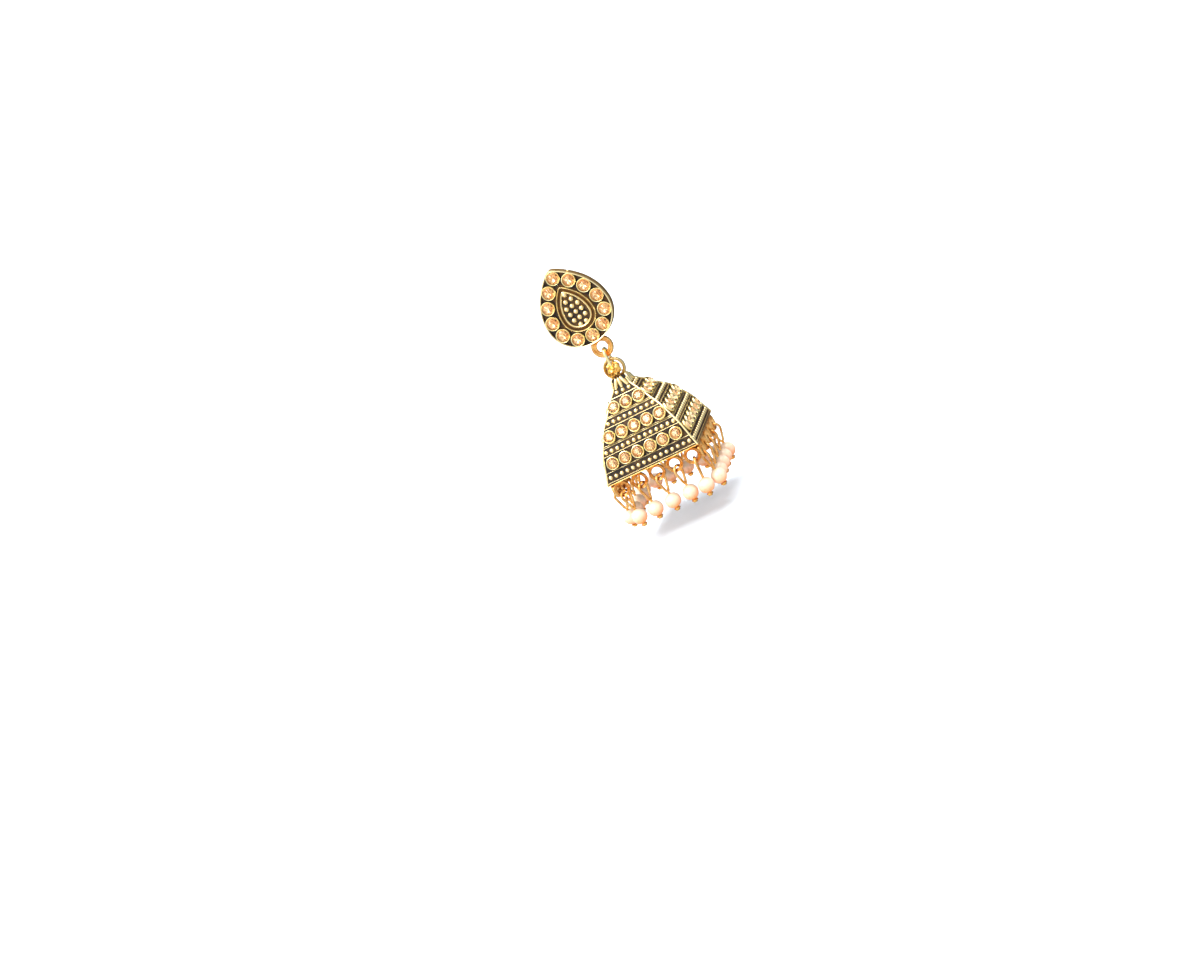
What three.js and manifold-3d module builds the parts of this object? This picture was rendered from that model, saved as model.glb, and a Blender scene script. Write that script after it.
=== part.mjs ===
// A jhumka earring: a teardrop stud with its post, a link that hangs in the stud's ring, and a
// square bell on the link with a fringe of pearls. Millimetres, +Z up, +X to the right, front
// towards -Y. The origin is where the post pins on, in the plane of the stud's flat back.
import * as THREE from "three";
import { mergeVertices } from "three/addons/utils/BufferGeometryUtils.js";
import Module from "manifold-3d";

// Clearances
const clearance = 0.14; // between pieces that hang on, thread or seat in each other
const overlap = 0.15; // how far soldered pieces run into each other

// Stud: a teardrop plate, upright in its own frame, with the post at its origin
const studHalfWidth = 6.5;
const studTip = 8.6; // tip above the post
const studFoot = 6.95; // lowest point below the post
const studWidest = -1; // height of the widest line
const studFloor = 1.4; // plate under the stones
const studRimWidth = 0.25;
const studRimHeight = 0.55;
const studLeanDegrees = 6; // the tip leans to the left of the hanging bell
const tearFullness = 0.58; // share of the way up to the tip where the sides turn in
const tipInsetShare = 1.2; // how far a tip moves in for each mm that the sides do

// Inner teardrop of the stud
const innerHalfWidth = 3.35;
const innerTip = 5.1;
const innerFoot = 4.15;
const innerLineWidth = 0.3;
const innerLineHeight = 0.6;
const grooveWidth = 0.4; // between the two raised lines
const fieldHeight = 0.25; // of the ground that the granules sit on
const seedDiameter = 0.95;
const seedPitch = 1.22;
const seedRowDrop = 1.18;
const seedTop = 3.25; // height of the first granule
const seedRows = [1, 2, 3, 3, 3, 2]; // granules in each row, from the tip down

// Round cut stones in rubbed-over bezels
const studStoneDiameter = 2.72; // over the bezel, which leans on the rim
const studStoneCount = 12;
const bellStoneDiameter = 2.5; // over the bezel
const bellStonePitch = 2.58;
const bezelHeight = 0.5;
const crownHeight = 0.28;
const lipShare = 0.8; // radius where the bezel meets the stone
const tableShare = 0.48; // radius of the stone's flat table

// Ring at the stud's foot
const studRingDiameter = 4.2;
const studRingHole = 2;
const studRingDepth = 0.9;
const studRingDrop = 8.25; // ring centre below the post

// Post
const postDiameter = 0.8;
const postLength = 10.5;
const postSocket = 0.7; // depth of the post's seat in the plate
const postTipLength = 0.5;

// Link
const linkWire = 0.6;
const linkStraight = 1.9; // straight stretch between its round ends

// Eye at the bell's top
const eyeHole = 2.9;
const eyeBand = 0.65;
const eyeDepth = 0.9;

// Lumpy bead in the eye
const beadFrontDiameter = 3;
const beadLength = 2.6;
const beadLumps = 5;
const beadLumpShare = 0.07;
const beadFaceShare = 0.6; // radius where each end of the bead turns flat
const beadNoseShare = 0.12; // how far the flat of the front end bulges, in front radii
const beadTurnShare = 0.45; // length of the rounding at each end, in radii

// Bell
const bellHalfWidth = 9.2; // at the lower edge
const bellHeight = 15.6; // lower edge to the top of the neck
const bellWall = 0.9; // measured level
const bellRoof = 0.8; // share of the height that is hollow
const slopeStep = 0.005; // share of the height over which a face's slope is taken
const lineHeight = 0.17;
const lineRise = 0.2;
const rimHeight = 0.26; // plain band round the lower edge
const rimRise = 0.12;
const grainDiameter = 0.84;
const grainPitch = 1.15;
const neckPitch = 1.25; // of the ribs and their granules
const ribWidth = 0.5;
const ribRise = 0.2;
const ribFanShare = 0.35; // how close the ribs stand at the neck, against their spread below

// Outline of the bell: height and half-width as shares of bellHeight and bellHalfWidth
const bellSections = [
  { height: 0, width: 1 },
  { height: 0.135, width: 0.927 },
  { height: 0.308, width: 0.846 },
  { height: 0.381, width: 0.787 },
  { height: 0.58, width: 0.622 },
  { height: 0.651, width: 0.513 },
  { height: 0.811, width: 0.305 },
  { height: 0.891, width: 0.185 },
  { height: 1, width: 0.143 },
];
// Raised lines round the bell, as shares of bellHeight
const bellLines = [0.033, 0.141, 0.313, 0.398, 0.413, 0.578, 0.661, 0.675, 0.823];
// Rows of stones, as shares of bellHeight
const stoneRows = [0.218, 0.483, 0.732];
// Rows of granules, the height a share of bellHeight; the last row stands at the foot of the ribs
const grainRows = [
  { height: 0.081, pitch: grainPitch },
  { height: 0.348, pitch: grainPitch },
  { height: 0.6135, pitch: grainPitch },
  { height: 0.858, pitch: neckPitch },
];

// Fringe
const fringeCount = 5; // rings on each side
const fringePitchShare = 0.391; // of bellHalfWidth
const fringeRingDiameter = 3.2;
const fringeRingHole = 1.9;
const fringeRingDepth = 0.8;
const ringEdgeShare = 0.67; // thickness of any ring at its outer edge, against its middle
const dropWire = 0.5;
const dropLoopRadius = 1; // of the wire's middle line over the ring
const dropFootRadius = 0.3; // of the wire's middle line on the pearl
const dropLength = 4.7; // ring's lowest section to the pearl's centre
const pearlDiameter = 3;
const capTopDiameter = 1.1;
const capFootDiameter = 0.7;
const capHeight = 0.55;
const legShare = 0.6; // of the half turn from the loop's top to where its legs set off
// How far each loop of a side is turned out of the plane of its ring, in degrees
const loopTurns = [50, 58, 52, 62, 100];

// Facets
const stoneSides = 8;
const ringSides = 10;
const eyeSides = 12;
const pearlSides = 10;
const grainSides = 4;
const wireSides = 5;
const linkSides = 6;
const tearSegments = 5;

const wasm = await Module();
wasm.setup();

function solidOf(geometry) {
  const bare = geometry.clone();
  bare.deleteAttribute("normal");
  bare.deleteAttribute("uv");
  const merged = mergeVertices(bare, 1e-4);
  const vertProperties = merged.attributes.position.array;
  const triVerts = new Uint32Array(merged.index.array);
  return new wasm.Manifold(new wasm.Mesh({ numProp: 3, vertProperties, triVerts }));
}

function geometryOf(solid) {
  const mesh = solid.getMesh();
  const geometry = new THREE.BufferGeometry();
  geometry.setAttribute("position", new THREE.BufferAttribute(mesh.vertProperties, 3));
  geometry.setIndex(new THREE.BufferAttribute(mesh.triVerts, 1));
  geometry.computeVertexNormals();
  return geometry;
}

function joined(geometries) {
  return geometries.map(solidOf).reduce((whole, piece) => whole.add(piece));
}

function gold(color, roughness) {
  return new THREE.MeshStandardMaterial({ color, roughness, metalness: 1 });
}

function named(name, geometry, material) {
  const mesh = new THREE.Mesh(geometry, material);
  mesh.name = name;
  return mesh;
}

// A level slab in the XZ plane that stands out towards the front, from its back plane forward
function slab(shape, backPlane, thickness) {
  const settings = { depth: thickness, bevelEnabled: false, curveSegments: tearSegments };
  const geometry = new THREE.ExtrudeGeometry(shape, settings);
  return geometry.rotateX(Math.PI / 2).translate(0, -backPlane, 0);
}

function tearShape({ halfWidth, tip, foot, widest }) {
  const shoulder = widest + tearFullness * (tip - widest);
  const shape = new THREE.Shape();
  shape.moveTo(0, tip);
  shape.quadraticCurveTo(-halfWidth, shoulder, -halfWidth, widest);
  shape.absellipse(0, widest, halfWidth, widest + foot, Math.PI, 2 * Math.PI, false);
  shape.quadraticCurveTo(halfWidth, shoulder, 0, tip);
  return shape;
}

function insetTear({ halfWidth, tip, foot, widest }, inset) {
  return {
    halfWidth: halfWidth - inset,
    tip: tip - tipInsetShare * inset,
    foot: foot - inset,
    widest,
  };
}

function tearBand(tear, width) {
  const shape = tearShape(tear);
  shape.holes.push(tearShape(insetTear(tear, width)));
  return shape;
}

// Axis along Y; the profile is given as radius and height along the axis
function turned(profile, sides, startAngle = 0) {
  const points = profile.map(([radius, height]) => new THREE.Vector2(radius, height));
  return new THREE.LatheGeometry(points, sides, startAngle, 2 * Math.PI);
}

// A bezel with its stone, standing on y = 0 and facing the front; it is rooted below y = 0
function stone(diameter) {
  const radius = diameter / 2;
  const lip = radius * lipShare;
  const table = radius * tableShare;
  const profile = [
    [0, -overlap],
    [radius, -overlap],
    [lip, bezelHeight],
    [table, bezelHeight + crownHeight],
    [0, bezelHeight + crownHeight],
  ];
  return turned(profile, stoneSides, Math.PI / stoneSides).rotateX(Math.PI);
}

// A granule: a cone as high as its radius at y = 0, rooted below that
function grain(diameter) {
  const radius = diameter / 2;
  const profile = [
    [0, -overlap],
    [radius + overlap, -overlap],
    [0, radius],
  ];
  return turned(profile, grainSides).rotateX(Math.PI);
}

// A flat ring in the XZ plane, with a hole that narrows to a bevelled edge
function ring(diameter, hole, depth, sides) {
  const outer = diameter / 2;
  const inner = hole / 2;
  const middle = (outer + inner) / 2;
  const profile = [
    [inner, 0],
    [middle, -depth / 2],
    [outer, (-depth / 2) * ringEdgeShare],
    [outer, (depth / 2) * ringEdgeShare],
    [middle, depth / 2],
    [inner, 0],
  ];
  return turned(profile, sides, Math.PI / sides);
}

// Places worked out from the sizes. A ring hangs with a flat of its facets at the bottom.
const studDepth = studFloor + studRimHeight;
const hangY = -studDepth / 2; // the ring, link and bell hang in the middle of the plate's depth
const studLean = THREE.MathUtils.degToRad(studLeanDegrees);
const hangX = studRingDrop * Math.sin(studLean);
const studRingZ = -studRingDrop * Math.cos(studLean);
const eyeFlat = Math.cos(Math.PI / eyeSides); // reach of a flat against a corner
const studRingBand = ((studRingDiameter - studRingHole) / 2) * eyeFlat;
const pivotZ = studRingZ - (studRingHole / 2) * eyeFlat - studRingBand / 2;
const ringCornerReach = Math.hypot(studRingBand / 2, (studRingDepth / 2) * ringEdgeShare);
const linkRadius = ringCornerReach + clearance + linkWire / 2;
const eyeZ = pivotZ - linkStraight - linkRadius;
const eyeHeight = bellHeight + beadFrontDiameter / 2 + clearance; // above the bell's lower edge
const bellZ = eyeZ - eyeHeight;

const ringFlat = Math.cos(Math.PI / ringSides);
const fringeRingBand = ((fringeRingDiameter - fringeRingHole) / 2) * ringFlat;
const fringeRingZ = overlap - (fringeRingDiameter / 2) * ringFlat;
const fringeSectionZ = fringeRingZ - (fringeRingHole / 2) * ringFlat - fringeRingBand / 2;
const fringePlane = bellHalfWidth - bellWall / 2;
const fringePitch = bellHalfWidth * fringePitchShare;
const fringePlaces = Array.from(
  { length: fringeCount },
  (_, i) => (i - (fringeCount - 1) / 2) * fringePitch,
);
// The two drops next to a corner hang apart by as much as their pearls need
const cornerRoom = fringePlane - fringePlaces.at(-1);
const cornerShift = ((pearlDiameter + clearance) / Math.SQRT2 - cornerRoom) / 2;
const cornerLean = Math.asin(Math.max(cornerShift, 0) / dropLength);

function studSolid() {
  const outline = {
    halfWidth: studHalfWidth,
    tip: studTip,
    foot: studFoot,
    widest: studWidest,
  };
  const innerLine = {
    halfWidth: innerHalfWidth,
    tip: innerTip,
    foot: innerFoot,
    widest: studWidest,
  };
  const fieldLine = insetTear(innerLine, innerLineWidth + grooveWidth);
  const pieces = [
    slab(tearShape(outline), 0, studFloor),
    slab(tearBand(outline, studRimWidth), 0, studDepth),
    slab(tearBand(innerLine, innerLineWidth), studFloor - overlap, overlap + innerLineHeight),
    slab(tearBand(fieldLine, innerLineWidth), studFloor - overlap, overlap + innerLineHeight),
    slab(tearShape(fieldLine), studFloor - overlap, overlap + fieldHeight),
  ];
  const stoneLine = tearShape(insetTear(outline, (studRimWidth + studStoneDiameter) / 2));
  const stonePlaces = stoneLine.getSpacedPoints(studStoneCount).slice(0, studStoneCount);
  for (const place of stonePlaces) {
    pieces.push(stone(studStoneDiameter).translate(place.x, -studFloor, place.y));
  }
  seedRows.forEach((count, row) => {
    for (let i = 0; i < count; i += 1) {
      const x = (i - (count - 1) / 2) * seedPitch;
      const z = seedTop - row * seedRowDrop;
      pieces.push(grain(seedDiameter).translate(x, -studFloor - fieldHeight, z));
    }
  });
  const footRing = ring(studRingDiameter, studRingHole, studRingDepth, eyeSides);
  pieces.push(footRing.translate(0, hangY, -studRingDrop));
  const seatRadius = postDiameter / 2 + clearance;
  const seat = new THREE.CylinderGeometry(seatRadius, seatRadius, 2 * postSocket, eyeSides);
  return joined(pieces).subtract(solidOf(seat));
}

function postGeometry() {
  const radius = postDiameter / 2;
  const root = clearance - postSocket;
  const profile = [
    [0, root],
    [radius, root],
    [radius, postLength - postTipLength],
    [radius / 2, postLength],
    [0, postLength],
  ];
  return turned(profile, eyeSides);
}

// A closed wire loop in the XZ plane: a round top about the origin, a round foot below it, and
// straight legs between them. The split is the angle from the top where the legs leave it.
function wireLoop({ wire, topRadius, footRadius, drop, sides, segments, split }) {
  const profile = [];
  for (let i = 0; i <= sides; i += 1) {
    const angle = (2 * Math.PI * i) / sides;
    const radius = topRadius + (wire / 2) * Math.cos(angle);
    profile.push([radius, (wire / 2) * Math.sin(angle)]);
  }
  const geometry = turned(profile, segments, Math.PI / segments);
  const position = geometry.attributes.position;
  for (let i = 0; i < position.count; i += 1) {
    const x = position.getX(i);
    const z = position.getZ(i);
    const radius = Math.hypot(x, z);
    if (z < radius * Math.cos(split)) {
      const scale = (radius + footRadius - topRadius) / radius;
      position.setX(i, x * scale);
      position.setZ(i, z * scale - drop);
    }
  }
  return geometry;
}

// The link stands in the YZ plane; its origin is the eye's centre, where its lowest point passes
function linkGeometry(wire) {
  const loop = wireLoop({
    wire,
    topRadius: linkRadius,
    footRadius: linkRadius,
    drop: linkStraight,
    sides: linkSides,
    segments: eyeSides,
    split: Math.PI / 2,
  });
  return loop.rotateZ(Math.PI / 2).translate(0, 0, linkStraight + linkRadius);
}

// The bead's origin is the eye's centre; its back part fills the eye and its front part is wider
function beadSolid() {
  const front = beadFrontDiameter / 2;
  const back = (eyeHole / 2) * eyeFlat - clearance;
  const shoulder = -eyeDepth / 2 - clearance;
  const nose = shoulder - beadLength / 2;
  const tail = shoulder + beadLength / 2;
  const profile = [
    [0, nose],
    [front * beadFaceShare, nose + front * beadNoseShare],
    [front, nose + front * beadTurnShare],
    [front, shoulder - clearance],
    [back, shoulder],
    [back, tail - back * beadTurnShare],
    [back * beadFaceShare, tail],
    [0, tail],
  ];
  const geometry = turned(profile, 2 * beadLumps);
  const position = geometry.attributes.position;
  for (let i = 0; i < position.count; i += 1) {
    const x = position.getX(i);
    const z = position.getZ(i);
    const angle = Math.atan2(x, z);
    const lump = Math.cos(beadLumps * angle) > 0 ? 0 : beadLumpShare;
    position.setX(i, x * (1 - lump));
    position.setZ(i, z * (1 - lump));
  }
  return solidOf(geometry).subtract(solidOf(linkGeometry(linkWire + 2 * clearance)));
}

function bellWidthAt(height) {
  const share = height / bellHeight;
  const above = bellSections.findIndex((section) => section.height >= share);
  const high = bellSections[Math.max(above, 1)];
  const low = bellSections[Math.max(above, 1) - 1];
  const along = (share - low.height) / (high.height - low.height);
  return bellHalfWidth * (low.width + along * (high.width - low.width));
}

// How far the face leans back at a height, in radians
function bellSlopeAt(height) {
  const step = bellHeight * slopeStep;
  return Math.atan2(bellWidthAt(height - step) - bellWidthAt(height + step), 2 * step);
}

// A square solid about the Z axis from half-widths and heights
function squareTurned(profile) {
  const corners = profile.map(([halfWidth, height]) => [halfWidth * Math.SQRT2, height]);
  return turned(corners, 4, Math.PI / 4).rotateX(Math.PI / 2);
}

function sectionHeights(low, high) {
  const heights = bellSections.map(({ height }) => height * bellHeight);
  return [low, ...heights.filter((height) => height > low && height < high), high];
}

// A band that stands out from the bell's faces between two heights
function raisedBand(low, high, rise) {
  const heights = sectionHeights(low, high);
  const outside = heights.map((height) => [bellWidthAt(height) + rise, height]);
  const inside = heights.map((height) => [bellWidthAt(height) - overlap, height]).reverse();
  return squareTurned([...outside, ...inside, outside[0]]);
}

function bellShell() {
  const roof = bellHeight * bellRoof;
  const inside = sectionHeights(0, roof).map((height) => [bellWidthAt(height) - bellWall, height]);
  const outside = sectionHeights(0, bellHeight).map((height) => [bellWidthAt(height), height]);
  return squareTurned([[0, roof], ...inside.reverse(), ...outside, [0, bellHeight]]);
}

function aroundBell(geometry) {
  return [0, 1, 2, 3].map((side) => geometry.clone().rotateZ((side * Math.PI) / 2));
}

// Seats a piece that faces the front on the bell's front face
function onFace(geometry, x, height) {
  return geometry.rotateX(-bellSlopeAt(height)).translate(x, -bellWidthAt(height), height);
}

// Places across a face, as many as fit at that height
function acrossFace(height, pitch) {
  const count = Math.round((2 * bellWidthAt(height)) / pitch);
  return Array.from({ length: count }, (_, i) => (i - (count - 1) / 2) * pitch);
}

// Ribs that fan out from the eye down to just above the last row of granules
function neckRibs() {
  const row = grainRows.at(-1);
  const rowHeight = row.height * bellHeight;
  const low = rowHeight + grainDiameter / 2;
  const band = solidOf(raisedBand(low, bellHeight, ribRise));
  const blades = [];
  for (const x of acrossFace(rowHeight, row.pitch)) {
    const shape = new THREE.Shape();
    shape.moveTo(x - ribWidth / 2, low);
    shape.lineTo(x + ribWidth / 2, low);
    shape.lineTo(ribFanShare * (x + ribWidth / 2), bellHeight);
    shape.lineTo(ribFanShare * (x - ribWidth / 2), bellHeight);
    blades.push(...aroundBell(slab(shape, 0, bellHalfWidth)));
  }
  return band.intersect(joined(blades));
}

function bellSolid() {
  const relief = [];
  for (const share of stoneRows) {
    const height = share * bellHeight;
    for (const x of acrossFace(height, bellStonePitch)) {
      relief.push(...aroundBell(onFace(stone(bellStoneDiameter), x, height)));
    }
  }
  for (const row of grainRows) {
    const height = row.height * bellHeight;
    for (const x of acrossFace(height, row.pitch)) {
      relief.push(...aroundBell(onFace(grain(grainDiameter), x, height)));
    }
  }
  for (const share of bellLines) {
    const height = share * bellHeight;
    relief.push(raisedBand(height - lineHeight / 2, height + lineHeight / 2, lineRise));
  }
  relief.push(raisedBand(0, rimHeight, rimRise));
  for (const x of fringePlaces) {
    const fringeRing = ring(fringeRingDiameter, fringeRingHole, fringeRingDepth, ringSides);
    relief.push(...aroundBell(fringeRing.translate(x, -fringePlane, fringeRingZ)));
  }
  const eye = ring(eyeHole + 2 * eyeBand, eyeHole, eyeDepth, eyeSides);
  relief.push(eye.translate(0, 0, eyeHeight));
  return joined([bellShell(), ...relief]).add(neckRibs());
}

// Wire loop, pin and end cap; the origin is the middle of the ring's lowest section
function dropSolid() {
  const radius = dropWire / 2;
  const topReach = (dropLoopRadius - radius) * ringFlat;
  const topZ = fringeRingBand / 2 + clearance - topReach;
  const pearlTop = -dropLength + pearlDiameter / 2;
  const footZ = pearlTop + clearance + dropFootRadius + radius;
  const loop = wireLoop({
    wire: dropWire,
    topRadius: dropLoopRadius,
    footRadius: dropFootRadius,
    drop: topZ - footZ,
    sides: wireSides,
    segments: ringSides,
    split: legShare * Math.PI,
  });
  const capTop = pearlTop - pearlDiameter - clearance;
  const capFoot = capTop - capHeight;
  const pinTop = footZ - dropFootRadius;
  const profile = [
    [0, capFoot],
    [capFootDiameter / 2, capFoot],
    [capTopDiameter / 2, capTop],
    [radius, capTop],
    [radius, pinTop],
    [0, pinTop],
  ];
  const pinAndCap = turned(profile, wireSides);
  return joined([loop.translate(0, 0, topZ), pinAndCap.rotateX(Math.PI / 2)]);
}

// A drilled pearl about its own centre, its bore upright
function pearlGeometry() {
  const radius = pearlDiameter / 2;
  const bore = dropWire / 2 + clearance;
  const boreAngle = Math.asin(bore / radius);
  const bands = 4;
  const profile = [];
  for (let i = 0; i <= bands; i += 1) {
    const angle = boreAngle + (i / bands) * (Math.PI - 2 * boreAngle);
    profile.push([radius * Math.sin(angle), -radius * Math.cos(angle)]);
  }
  profile.push(profile[0]);
  return turned(profile, pearlSides).rotateX(Math.PI / 2);
}

const stud = new THREE.Group();
stud.rotation.y = -studLean;
stud.add(named("stud", geometryOf(studSolid()), gold(0xb79a5f, 0.38)));
stud.add(named("ear_post", postGeometry(), gold(0xd9a84a, 0.3)));

const link = new THREE.Group();
link.position.set(hangX, hangY, eyeZ);
link.add(named("link", linkGeometry(linkWire), gold(0xdf9f3c, 0.28)));
link.add(named("eye_bead", geometryOf(beadSolid()), gold(0xe0992e, 0.3)));

const bell = new THREE.Group();
bell.position.set(hangX, hangY, bellZ);
bell.add(named("bell", geometryOf(bellSolid()), gold(0xb3965c, 0.4)));

const dropGeometry = geometryOf(dropSolid());
const pearl = pearlGeometry();
for (let side = 0; side < 4; side += 1) {
  const fringe = new THREE.Group();
  fringe.rotation.z = (side * Math.PI) / 2;
  bell.add(fringe);
  fringePlaces.forEach((x, i) => {
    const number = String(side * fringeCount + i + 1).padStart(2, "0");
    const drop = new THREE.Group();
    const atCorner = i === 0 || i === fringeCount - 1;
    const lean = atCorner ? cornerLean : 0;
    drop.position.set(x, -fringePlane, fringeSectionZ);
    drop.rotation.set(-lean, lean * Math.sign(x), 0);
    const wire = named(`drop_wire_${number}`, dropGeometry, gold(0xdc9c42, 0.3));
    wire.rotation.z = THREE.MathUtils.degToRad(loopTurns[i]);
    const finish = { color: 0xfbe6d2, roughness: 0.25, metalness: 0 };
    const bead = named(`pearl_${number}`, pearl, new THREE.MeshStandardMaterial(finish));
    bead.position.z = -dropLength;
    drop.add(wire, bead);
    fringe.add(drop);
  });
}

const earring = new THREE.Group();
earring.add(stud, link, bell);

export default earring;
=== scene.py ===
import math
import random

import bmesh
import bpy
from mathutils import Matrix, Vector, noise


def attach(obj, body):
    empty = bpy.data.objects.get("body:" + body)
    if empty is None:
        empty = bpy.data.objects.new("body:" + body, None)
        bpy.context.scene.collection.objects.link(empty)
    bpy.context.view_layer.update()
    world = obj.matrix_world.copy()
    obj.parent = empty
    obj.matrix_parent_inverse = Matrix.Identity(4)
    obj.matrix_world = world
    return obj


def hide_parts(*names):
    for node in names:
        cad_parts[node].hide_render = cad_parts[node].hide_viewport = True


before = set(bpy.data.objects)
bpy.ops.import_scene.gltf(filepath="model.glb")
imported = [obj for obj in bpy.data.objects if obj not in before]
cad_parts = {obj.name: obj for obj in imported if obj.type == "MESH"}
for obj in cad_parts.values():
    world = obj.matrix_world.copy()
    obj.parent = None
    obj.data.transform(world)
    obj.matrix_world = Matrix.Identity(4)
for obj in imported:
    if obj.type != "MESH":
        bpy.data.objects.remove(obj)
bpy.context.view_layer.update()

# A jhumka earring: teardrop stud, link and square bell with a pearl fringe. Sizes are in mm.
mm = 0.001
chance = random.Random(11)


def linearOf(hexColour):
    parts = [int(hexColour[i:i + 2], 16) / 255 for i in (1, 3, 5)]
    return tuple(c / 12.92 if c < 0.04045 else ((c + 0.055) / 1.055) ** 2.4 for c in parts) + (1,)


def addNode(tree, kind, inputs=None, stops=None, **settings):
    node = tree.nodes.new("ShaderNode" + kind)
    for key, value in settings.items():
        setattr(node, key, value)
    if stops:  # a colour ramp's places and colours
        ramp = node.color_ramp.elements
        while len(ramp) < len(stops):
            ramp.new(1)
        for stop, (place, colour) in zip(ramp, stops):
            stop.position, stop.color = place, colour
    for key, value in (inputs or {}).items():
        if isinstance(value, bpy.types.NodeSocket):
            tree.links.new(value, node.inputs[key])
        else:
            node.inputs[key].default_value = value
    return node


def newFinish(name):
    finish = bpy.data.materials.new(name)
    finish.use_nodes = True
    return finish, finish.node_tree, finish.node_tree.nodes["Principled BSDF"]


def greyOf(value):
    return (value, value, value, 1)


# Finishes

antiqueLook = dict(
    oxide="#1a0e06", tarnish="#74501f", gold="#e2b469", rubbed="#ffebb4",
    recessShadeReach=0.4,  # how far from a wall the darkening of the recess beside it reaches: partly blackening, partly painted shade
    blotch=1.3, castGrain=0.16, grainDepth=0.012,
)


def antiqueGold():
    # cast zinc alloy, gold plated, blackened and rubbed back: bright relief out of dark recesses
    look = antiqueLook
    finish, tree, shader = newFinish("antiqueGold")
    place = addNode(tree, "TexCoord").outputs["Object"]
    relief = addNode(tree, "Attribute", attribute_name="relief").outputs["Fac"]
    recessShade = addNode(tree, "AmbientOcclusion", {"Distance": look["recessShadeReach"] * mm}, samples=8)
    blotch = addNode(tree, "TexNoise", {"Vector": place, "Scale": 1 / (look["blotch"] * mm), "Detail": 3})
    grain = addNode(tree, "TexNoise", {"Vector": place, "Scale": 1 / (look["castGrain"] * mm), "Detail": 2})
    # ambient occlusion darkens the colour next to walls: partly the blackening that collects there, partly
    # painted shade
    shade = addNode(tree, "MapRange", {"Value": recessShade.outputs["AO"], "From Min": 0.15, "From Max": 0.65,
                                       "To Min": -0.4, "To Max": 0.0})
    patch = addNode(tree, "MapRange", {"Value": blotch.outputs["Fac"], "From Min": 0.3, "From Max": 0.7,
                                       "To Min": -0.12, "To Max": 0.12})
    worn = addNode(tree, "Math", {0: relief, 1: shade.outputs["Result"]}, operation="ADD")
    worn = addNode(tree, "Math", {0: worn.outputs[0], 1: patch.outputs["Result"]}, operation="ADD",
                   use_clamp=True)
    colour = addNode(tree, "ValToRGB", {"Fac": worn.outputs[0]}, stops=[
        (0.05, linearOf(look["oxide"])), (0.35, linearOf(look["tarnish"])),
        (0.6, linearOf(look["gold"])), (0.9, linearOf(look["rubbed"]))])
    metal = addNode(tree, "MapRange", {"Value": worn.outputs[0], "From Min": 0.1, "From Max": 0.5,
                                       "To Min": 0.25, "To Max": 1.0})
    rough = addNode(tree, "MapRange", {"Value": worn.outputs[0], "From Min": 0.1, "From Max": 0.8,
                                       "To Min": 0.6, "To Max": 0.27})
    skin = addNode(tree, "Bump", {"Height": grain.outputs["Fac"], "Strength": 0.35,
                                  "Distance": look["grainDepth"] * mm})
    tree.links.new(colour.outputs["Color"], shader.inputs["Base Color"])
    tree.links.new(metal.outputs["Result"], shader.inputs["Metallic"])
    tree.links.new(rough.outputs["Result"], shader.inputs["Roughness"])
    tree.links.new(skin.outputs["Normal"], shader.inputs["Normal"])
    return finish


# each look's recess colour is painted shade, mixed in close to other parts
platedLook = dict(light="#ffd38c", deep="#eba04a", blotch=0.9, drawGrain=0.12, grainDepth=0.006,
                  recessShade="#9c5a20", recessShadeReach=0.5)


def platedGold(name="platedGold", look=platedLook, smooth=0.2, dull=0.34):
    # gold plate on brass wire and rings: warm orange gold, satin, with painted shade where pieces meet or
    # sit close under others
    finish, tree, shader = newFinish(name)
    place = addNode(tree, "TexCoord").outputs["Object"]
    blotch = addNode(tree, "TexNoise", {"Vector": place, "Scale": 1 / (look["blotch"] * mm), "Detail": 3})
    grain = addNode(tree, "TexNoise", {"Vector": place, "Scale": 1 / (look["drawGrain"] * mm), "Detail": 2})
    recessShade = addNode(tree, "AmbientOcclusion", {"Distance": look["recessShadeReach"] * mm}, samples=6)
    plate = addNode(tree, "ValToRGB", {"Fac": blotch.outputs["Fac"]}, stops=[
        (0.35, linearOf(look["deep"])), (0.65, linearOf(look["light"]))])
    # painted shade: ambient occlusion mixes the recess colour in near other parts
    shade = addNode(tree, "MapRange", {"Value": recessShade.outputs["AO"], "From Min": 0.25, "From Max": 0.75,
                                       "To Min": 0.7, "To Max": 0.0})
    colour = addNode(tree, "Mix", {"Factor": shade.outputs["Result"], "A": plate.outputs["Color"],
                                   "B": linearOf(look["recessShade"])}, data_type="RGBA")
    rough = addNode(tree, "MapRange", {"Value": grain.outputs["Fac"], "To Min": smooth, "To Max": dull})
    skin = addNode(tree, "Bump", {"Height": grain.outputs["Fac"], "Strength": 0.3,
                                  "Distance": look["grainDepth"] * mm})
    tree.links.new(colour.outputs["Result"], shader.inputs["Base Color"])
    tree.links.new(rough.outputs["Result"], shader.inputs["Roughness"])
    tree.links.new(skin.outputs["Normal"], shader.inputs["Normal"])
    shader.inputs["Metallic"].default_value = 1
    return finish


beadLook = dict(light="#ffdf86", deep="#f0a03a", blotch=0.7, drawGrain=0.2, grainDepth=0.02,
                recessShade="#8a4408", recessShadeReach=0.4)
# a paler copy of the plated gold: on the bezel lips partly burnish, partly painted highlight; on the link a
# painted highlight
bezelLook = dict(light="#fff8c4", deep="#ffe9a0", blotch=0.9, drawGrain=0.12, grainDepth=0.006,
                 recessShade="#dcae62", recessShadeReach=0.25)
capLook = dict(light="#ffd684", deep="#ffb453", blotch=0.6, drawGrain=0.12, grainDepth=0.006,
               recessShade="#e8963c", recessShadeReach=0.15)

pearlLook = dict(crown="#fbdfc2", shadedPeach="#ec8c44", cloud=1.6, lustre=0.35)


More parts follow.
